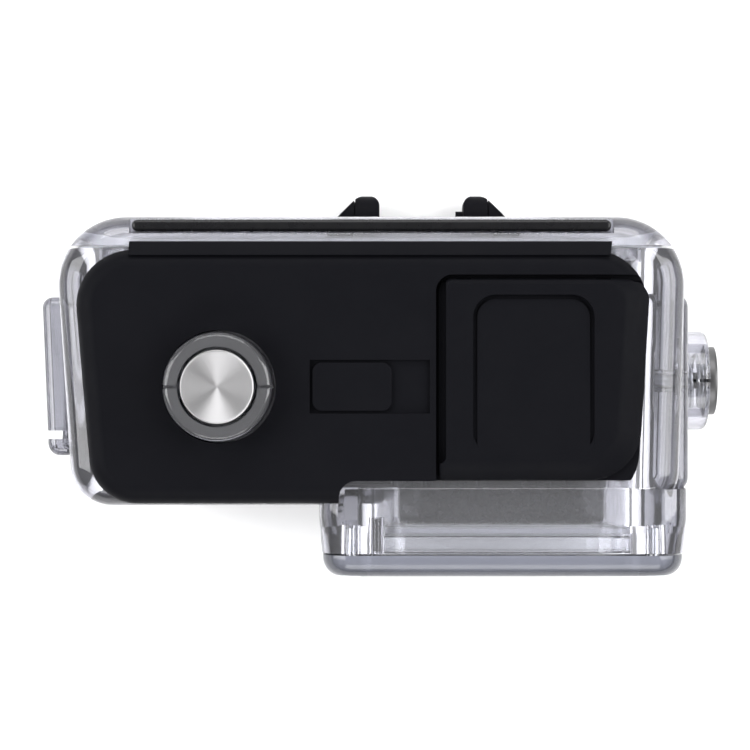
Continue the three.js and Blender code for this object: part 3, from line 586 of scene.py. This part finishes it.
def tripod_insert():
    profile = [(3.1, 0.2), (4.9, 0.2), (4.9, 2.2), (3.1, 2.2)]
    for k in range(6):
        z = 2.05 - k * 0.32
        profile += [(3.1, z), (3.28, z - 0.08), (3.28, z - 0.16), (3.1, z - 0.24)]
    o = moved(ring_turned("tripod_socket_ring", profile, 72), *SOCKET)
    return piece(o, "housing", BRASS, ["tripod_insert"], 0)


# ------------------------------------------------------------------ rear door
def seal_ring(grow, y0, y1):
    g = grow
    ring = slab("ring", rect(-35.2 - g, 4.3 - g, 35.2 + g, 56 + g, 8.3 + g), y0, y1, steps=16)
    return cut(ring, slab("in", rect(-34.4 + g, 5.1 + g, 34.4 - g, 55.2 - g, 7.5 - g), y0 - 1, y1 + 1, steps=16))


def rear_door():
    o = body_blank("rear_door_clear", 3.4, 1.0)
    cut(o, box("trim", -60, 60, -60, DOOR_Y, -10, 90), seal_ring(0.2, DOOR_Y - 1, 14.5),
        slab("pane", rect(-24, 12, 24, 46, 4), 15.6, 20, 0.4, 0), box("rail", -28.1, 28.5, 14.9, 16.7, 55.2, 60))
    union(o, slab("plug", rect(-33.7, 6, 33.7, 54.1, 5.5), 11.9, DOOR_Y + 0.5, 0, 0.4))
    cut(o, slab("hollow", rect(-32.2, 7.5, 32.2, 52.6, 4.5), 11, 13.9))
    return piece(o, "door", CLEAR_DOOR, ["rear_door"], 0.15)


def door_seal():
    o = seal_ring(0, 13.28, 14.3)
    o.name = "door_seal_ring"
    return piece(o, "door", SILICONE, ["door_seal"], 0.2)


def door_top_rail():
    o = block("door_rail", rect(-27.8, 15.1, 28.2, 16.5, 0.69), 55.4, 57.25, 0.45, 0, 8, 6)
    return piece(o, "door", BLACK_GLOSS, ["door_top_rail"], 0)


def door_hinge_bar():
    h = HINGE
    half = h["split"] - 0.3
    o = block("hinge_bar", rect(h["x"] - half, 17.15, h["x"] + half, 18.7, 0.5), 3.6, 9.2, 0.6, 0, 6, 5)
    for s in (-1, 1):
        side = h["split"] - 0.075
        lo, hi = sorted((h["x"] + s * h["inner"], h["x"] + s * side))
        union(o, lug("knuckle", s, h["inner"], side), box("web", lo, hi, 17.3, h["y"], h["z"] + 0.4, h["z"] + 2.9))
        cut(o, across("hole", 0.9, s, h["inner"] - 1, side + 1), across("seat", 2.35, s, side - 0.6, side + 1))
    return piece(o, "door", BLACK, ["door_hinge_bar"], 0.1)


# ------------------------------------------------------------------ top plate, lock and latch
def top_plate():
    plan = [(-32.2, -16.6, 5.6), (31.0, -16.6, 6), (32.75, 12.9, 6.5), (-34.7, 12.9, 6.5)]
    o = block("top_cover", plan, PLATE_Z0, PLATE_Z1, 2.2, 0, 16, 10)
    gap = [(-5.0, -30, 0.3), (60, -30, 0.3), (60, -13.9, 0.3), (-3.4, -13.9, 2)]
    p = POCKET
    pocket = [(p["x0"], -30, 0.1), (60, -30, 0.1), (60, p["y1"], 0.1), (p["x0"], p["y1"], 1.9)]
    q = LIP
    low = [(q["x0"], q["y0"]), (q["x1"] - 0.3, q["y0"]), (q["x1"], q["y1"]), (q["x0"], q["y1"])]
    high = low[:2] + [(q["x1"] - 0.3, q["y0"] + 0.1), (q["x0"], q["y0"] + 0.1)]
    union(o, loft("lip", [(low, 57.35), (low, 58.9), (high, PLATE_Z1)]))
    s, x = SLOT, SLOT["x0"] + 1.1
    cut(o, block("gap", gap, 50, 70), at_shutter(rod("hole", COLLAR_R + 0.3, 50, 70, 96)),
        block("pocket", pocket, p["z"], 70), rod_x("trough", 1.8, 8.6, 32.3, PIVOT["y"], PIVOT["z"], 64),
        box("slot", s["x0"], s["x1"], s["y0"], s["y1"], s["z"], 70),
        box("guide", x - 0.3, x + 7.4, -4.3, -1.7, 57, 70), box("channel", x - 0.7, x + 7.8, -5.5, -0.5, 57, 58.5))
    for a, b in EARS:
        union(o, rod_x("ear", 0.85, a, b, PIVOT["y"], PIVOT["z"], 48),
              box("foot", a, b, PIVOT["y"] - 0.8, PIVOT["y"] + 0.8, 57.2, PIVOT["z"]))
    cut(o, rod_x("pin", PIVOT["r"] + 0.05, 9, 29, PIVOT["y"], PIVOT["z"], 32))
    return piece(o, "housing", BLACK, ["top_plate"], 0.12)


def lever_plan(left, front, right, rear):
    """Plan of the lever drawn in from its left, front, right and rear sides."""
    q = LATCH
    return outline([(q["x0"] + left, q["y0"] + front, 0.5), (31.16 - right, q["y0"] + front, 6.2 - 0.6 * right),
                    (32.55 - right, q["y1"] - rear, 2.6), (q["x0"] + left, q["y1"] - rear, 1.6)], 0, 16)


def latch_lever():
    q, v = LATCH, PIVOT
    o = loft("latch", [(lever_plan(0, 0, 0, 0), q["z0"]), (lever_plan(0, 0, 0, 0), 58.75),
                       (lever_plan(0.05, 0.25, 0.6, 0.05), 59.3), (lever_plan(0.1, 0.75, 1.3, 0.1), 59.75),
                       (lever_plan(0.2, 1.5, 2.4, 0.25), 60.3), (lever_plan(0.6, 2.5, 3.1, 0.7), q["z1"])])
    # the finger recess is deepest at the back and runs out towards the front edge
    panel = block("panel", rect(11.9, q["y0"] - 10, 25.9, 0, 2.6), 0, 5, 0, 0, 16)
    rim = cut(block("rim", rect(11.9, -18.35, 25.9, 0, 2.6), -0.35, 1, steps=16),
              block("core", rect(12.4, -30, 25.4, -0.5, 2.1), -2, 3, steps=16))
    for o_cut in (panel, rim):
        transform(o_cut, Matrix.Translation((0, 7.6, q["z1"] - 0.6)) @ Matrix.Rotation(-0.033, 4, "X"))
    side = q["x0"] + 0.85
    step = block("step", [(0, -11.9, 0.3), (side, -11.9, 0.8), (side, 20, 0.1), (0, 20, 0.1)], 58.9, 70)
    cut(o, panel, rim, step)
    for a, b in EARS:
        cut(o, box("ear", a - 0.3, b + 0.3, v["y"] - 2.3, v["y"] + 2.5, 57, v["z"]),
            rod_x("ear", 1.1, a - 0.3, b + 0.3, v["y"], v["z"], 48),
            box("ear", a - 0.3, b + 0.3, v["y"], v["y"] + 2.5, 57, v["z"] + 0.75))
    cut(o, rod_x("pin", 0.6, q["x0"] + 1.5, 29.1, v["y"], v["z"], 32))
    heel = cut(box("heel", 0, 50, v["y"], 12, 56, v["z"]), rod_x("round", 1.15, -1, 51, v["y"], v["z"], 64))
    cut(o, heel)
    return piece(o, "latch", BLACK, ["latch_lever"], 0.12)


def lock_slider():
    s = SLOT
    x0, x = s["x0"] + 0.3, s["x0"] + 1.1
    o = block("lock_thumb", rect(x0, s["y0"] + 0.3, x0 + s["length"], s["y1"] - 0.3, 1.1), s["z"] + 0.1, 60.1,
              0.15, 0, 10, 5)
    union(o, box("stem", x, x + 3, -4, -2, 57.6, 59.7), box("foot", x - 0.4, x + 3.4, -5.2, -0.8, 57.5, 58.2))
    return piece(o, "lock", BLACK, ["lock_slider"], 0.06)


# ------------------------------------------------------------------ buttons
def cap(name, h, place):
    """Cap whose face is a shallow turned cone inside a fine rounded rim."""
    r = CAP_R
    profile = [(0, h - 1.5), (r - 0.3, h - 1.5), (r - 0.08, h - 1.42), (r, h - 1.2), (r, h - 0.14),
               (r - 0.04, h - 0.04), (r - 0.13, h), (r - 0.2, h - 0.02)]
    steps = 24
    for k in range(1, steps):
        f = k / steps
        profile.append(((r - 0.2) * (1 - f), h - 0.02 - 0.22 * f))
    profile.append((0, h - 0.25))
    return place(turned(name, profile, 128))


def stem(name, h, tip, clip, place):
    r = STEM_R
    profile = [(0, tip), (r - 0.25, tip), (r, tip + 0.25), (r, clip - 0.3), (r - 0.4, clip - 0.3),
               (r - 0.4, clip + 0.3), (r, clip + 0.3), (r, h - 3.0), (0.6, h - 3.0), (0.6, h - 1.8),
               (2.1, h - 1.8), (2.1, h - 1.55), (0, h - 1.55)]
    return place(turned(name, profile, 48))


def clip_ring(name, clip, place):
    ring = ring_turned(name, [(STEM_R - 0.25, clip - 0.18), (2.0, clip - 0.18), (2.0, clip + 0.18),
                              (STEM_R - 0.25, clip + 0.18)], 64)
    return place(cut(ring, box("gap", -0.45, 0.45, 0.2, 3, clip - 1, clip + 1)))


def oring(name, z, place):
    ring = [(1.8 + 0.4 * math.cos(a), z + 0.4 * math.sin(a)) for a in [k * math.pi / 6 for k in range(12)]]
    return place(ring_turned(name, ring, 64))


def coil(name, r, wire, z0, z1, turns, place, per_turn=40, sides=10):
    steps = round(turns * per_turn)
    verts, faces = [], []
    for i in range(steps + 1):
        a = i / per_turn * 2 * math.pi
        z = z0 + wire + (z1 - z0 - 2 * wire) * i / steps
        for k in range(sides):
            b = k / sides * 2 * math.pi
            rr = r + wire * math.cos(b)
            verts.append((rr * math.cos(a), rr * math.sin(a), z + wire * math.sin(b)))
    for i in range(steps):
        for k in range(sides):
            p, q = i * sides + k, i * sides + (k + 1) % sides
            faces.append((p, p + sides, q + sides, q))
    faces.append(tuple(range(sides)))
    faces.append(tuple(reversed(range(steps * sides, (steps + 1) * sides))))
    return place(mesh_object(name, verts, faces))


def buttons():
    sets = (("shutter", SHUTTER, at_shutter, 0.3, 53.2, 54.1, (SHUTTER["x"] * MM, SHUTTER["y"] * MM, 0), "Z",
             (0.3, 1.3, 4, 1.5)),
            ("mode", MODE, at_mode, 1.1, 32.0, 33.3, (0, MODE["y"] * MM, MODE["z"] * MM), "X", (0.25, 0.5, 3, 1.2)))
    for name, b, place, proud, tip, clip, centre, axis, (wire, drop, turns, travel) in sets:
        top = b["rim"] + proud
        metal = spun_metal(f"spun face {name}", centre, axis, (0.60, 0.595, 0.605))
        body = f"{name}_plunger"
        piece(cap(f"{name}_button_cap", top, place), body, metal, [f"{name}_cap"], 0)
        piece(stem(f"{name}_button_stem", top, tip, clip, place), body, STEEL, [f"{name}_stem"], 0.05)
        piece(clip_ring(f"{name}_e_clip", clip, place), body, STEEL, [f"{name}_clip"], 0.04)
        piece(oring(f"{name}_seal", b["floor"] - 1.3, place), "housing", RUBBER, [f"{name}_oring"], 0)
        sleeve = ring_turned(f"{name}_stop_sleeve", [(0.65, top - 2.95), (1.0, top - 2.95), (1.0, top - 1.85),
                                                     (0.65, top - 1.85)], 48)
        piece(place(sleeve), body, RUBBER, [f"{name}_sleeve"], 0.1)
        spring = coil(f"{name}_return_spring", 3.2, wire, b["floor"] + 0.1, b["rim"] - drop, turns, place)
        piece(spring, "housing", STEEL, [f"{name}_spring"], 0)
        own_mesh(spring)


# ------------------------------------------------------------------ camera inside
def camera_shell():
    c = CAM
    w = c["wall"]
    o = slab("camera_case", rect(c["x0"], c["z0"], c["x1"], c["z1"], c["r"]), c["y0"], c["y1"], 0, 1.5)
    cut(o, slab("in", rect(c["x0"] + w, c["z0"] + w, c["x1"] - w, c["z1"] - w, c["r"] - w), c["y0"] + w, c["y1"] + 1),
        rod_y("lens", 9.2, -20, 0, *LENS, 96), slab("pane", rect(-27, 23, -4, 45, 2), c["y0"] - 1, c["y0"] + 0.9),
        moved(rod("btn", 4.3, 49, 52, 64), SHUTTER["x"], SHUTTER["y"]),
        moved(transform(rod("btn", 3.3, 28, 32, 48), ALONG_X), 0, MODE["y"], MODE["z"]),
        box("door", c["x0"] - 1, c["x0"] + 3, -4, 5, 12, 22))
    cut(o, *[rod_y("mic", 0.5, -14, -10, -15.5 + k * 1.8, 13, 24) for k in range(-2, 3)])
    return piece(o, "housing", SOFT, ["camera_shell"], 0.15)


def camera_back():
    c = CAM
    o = slab("camera_rear_cover", rect(c["x0"], c["z0"], c["x1"], c["z1"], c["r"]), c["y1"] + 0.15, 10.7, 1.0, 0)
    cut(o, slab("pane", rect(-24, 11, 24, 47, 2), 9.7, 12))
    return piece(o, "housing", SOFT, ["camera_back"], 0.12)


def lens_group():
    x, z = LENS
    ring = slab("lens_surround", centred(x, z, 26, 26, 4), -19.3, -12.5, 0, 1.2)
    cut(ring, rod_y("in", 9.9, -20, -17.8, x, z, 96), rod_y("in", 9.0, -20, -10, x, z, 96))
    piece(ring, "housing", BLACK_GLOSS, ["lens_ring"], 0.2)
    cover = rod_y("lens_cover", 9.6, -19.0, -18.1, x, z, 96)
    piece(cover, "housing", GLASS, ["lens_glass"], 0.1)
    profile = [(6.2, 0), (8.7, 0), (8.7, 17.5), (7.6, 17.5), (7.6, 9), (6.2, 9)]
    barrel = moved(transform(ring_turned("lens_tube", profile, 96), ALONG_Y), x, 1.2, z)
    piece(barrel, "housing", SOFT, ["lens_barrel"], 0.1)
    for name, node, r, y0, y1, bulge in (("lens_front", "lens_element_front", 7.3, -15.9, -12.5, 1.6),
                                         ("lens_rear", "lens_element_rear", 5.9, -7.0, -4.0, 1.2)):
        d = y1 - y0 - bulge
        prof = [(0, 0), (r, 0), (r, d)]
        prof += [(r * math.cos(a), d + bulge * math.sin(a)) for a in [k * math.pi / 24 for k in range(1, 12)]]
        prof.append((0, d + bulge))
        lens = moved(transform(turned(name, prof, 96), ALONG_Y), x, y1, z)
        piece(lens, "housing", GLASS, [node], 0)


def panes():
    rear = slab("rear_display", rect(-23.7, 11.3, 23.7, 46.7, 1.8), 9.9, 10.6, 0.15, 0)
    piece(rear, "housing", SCREEN, ["rear_screen"], 0)
    front = slab("front_display", rect(-26.7, 23.3, -4.3, 44.7, 1.8), -12.2, -11.6, 0, 0.15)
    piece(front, "housing", SCREEN, ["front_screen"], 0)


# ------------------------------------------------------------------ build
front_shell()
port_bezel()
port_window()
port_dowel()
port_gasket()
for i, (x, z) in enumerate(screw_spots(), 1):
    bezel_screw(i, x, z)
base_plate()
for i, (x, y) in enumerate(base_spots(), 1):
    base_screw(i, x, y)
tripod_insert()
rear_door()
door_seal()
door_top_rail()
door_hinge_bar()
top_plate()
latch_lever()
lock_slider()
buttons()
camera_shell()
camera_back()
lens_group()
panes()

slot_of = {s["node"]: s["material_slot"] for s in frame["record"]["subparts"]}
for name, o in frame["nodes"].items():
    if o.hide_render:
        continue
    o.data.materials.clear()
    o.data.materials.append(BY_SLOT[slot_of[name]])
    m = o.modifiers.new("edge", "BEVEL")
    m.width, m.segments, m.limit_method, m.angle_limit = 0.1 * MM, 2, "ANGLE", math.radians(40)


# ------------------------------------------------------------------ floor, light, camera
def stage():
    floor = mesh_object("floor", [(-3, -3, 0), (3, -3, 0), (3, 3, 0), (-3, 3, 0)], [(0, 1, 2, 3)])
    m = Nodes("pale floor", (0.93, 0.93, 0.935), 0.8, Specular_IOR_Level=0.2)
    m.vary_color(m.noise(4, 2), (0.925, 0.925, 0.93), (0.94, 0.94, 0.945))
    floor.data.materials.append(m.mat)


def area(name, place, size, power, target=(0, 0, 0.03)):
    light = bpy.data.lights.new(name, "AREA")
    light.shape, light.size, light.size_y, light.energy = "RECTANGLE", size[0], size[1], power
    o = bpy.data.objects.new(name, light)
    o.location = place
    o.rotation_mode = "QUATERNION"
    o.rotation_quaternion = (Vector(target) - Vector(place)).to_track_quat("-Z", "Y")
    bpy.context.scene.collection.objects.link(o)


stage()
world = bpy.data.worlds.new("studio")
world.use_nodes = True
world.node_tree.nodes["Background"].inputs["Color"].default_value = (1, 1, 1, 1)
world.node_tree.nodes["Background"].inputs["Strength"].default_value = 0.35
bpy.context.scene.world = world
area("left soft box", (-0.75, 0.10, 0.62), (0.6, 0.9), 10)
area("right soft box", (0.75, 0.10, 0.62), (0.6, 0.9), 10)
area("back soft box", (0.0, 0.80, 0.62), (0.9, 0.5), 6.5)
area("front soft box", (0.0, -0.80, 0.62), (0.9, 0.5), 6)

camera = bpy.data.cameras.new("camera")
camera.lens, camera.sensor_width = 120.6, 36
camera.clip_start, camera.clip_end = 0.01, 10
eye = bpy.data.objects.new("camera", camera)
eye.location = (0.0006, -0.00165, 0.35)
bpy.context.scene.collection.objects.link(eye)
bpy.context.scene.camera = eye
bpy.context.scene.view_settings.view_transform = "Standard"
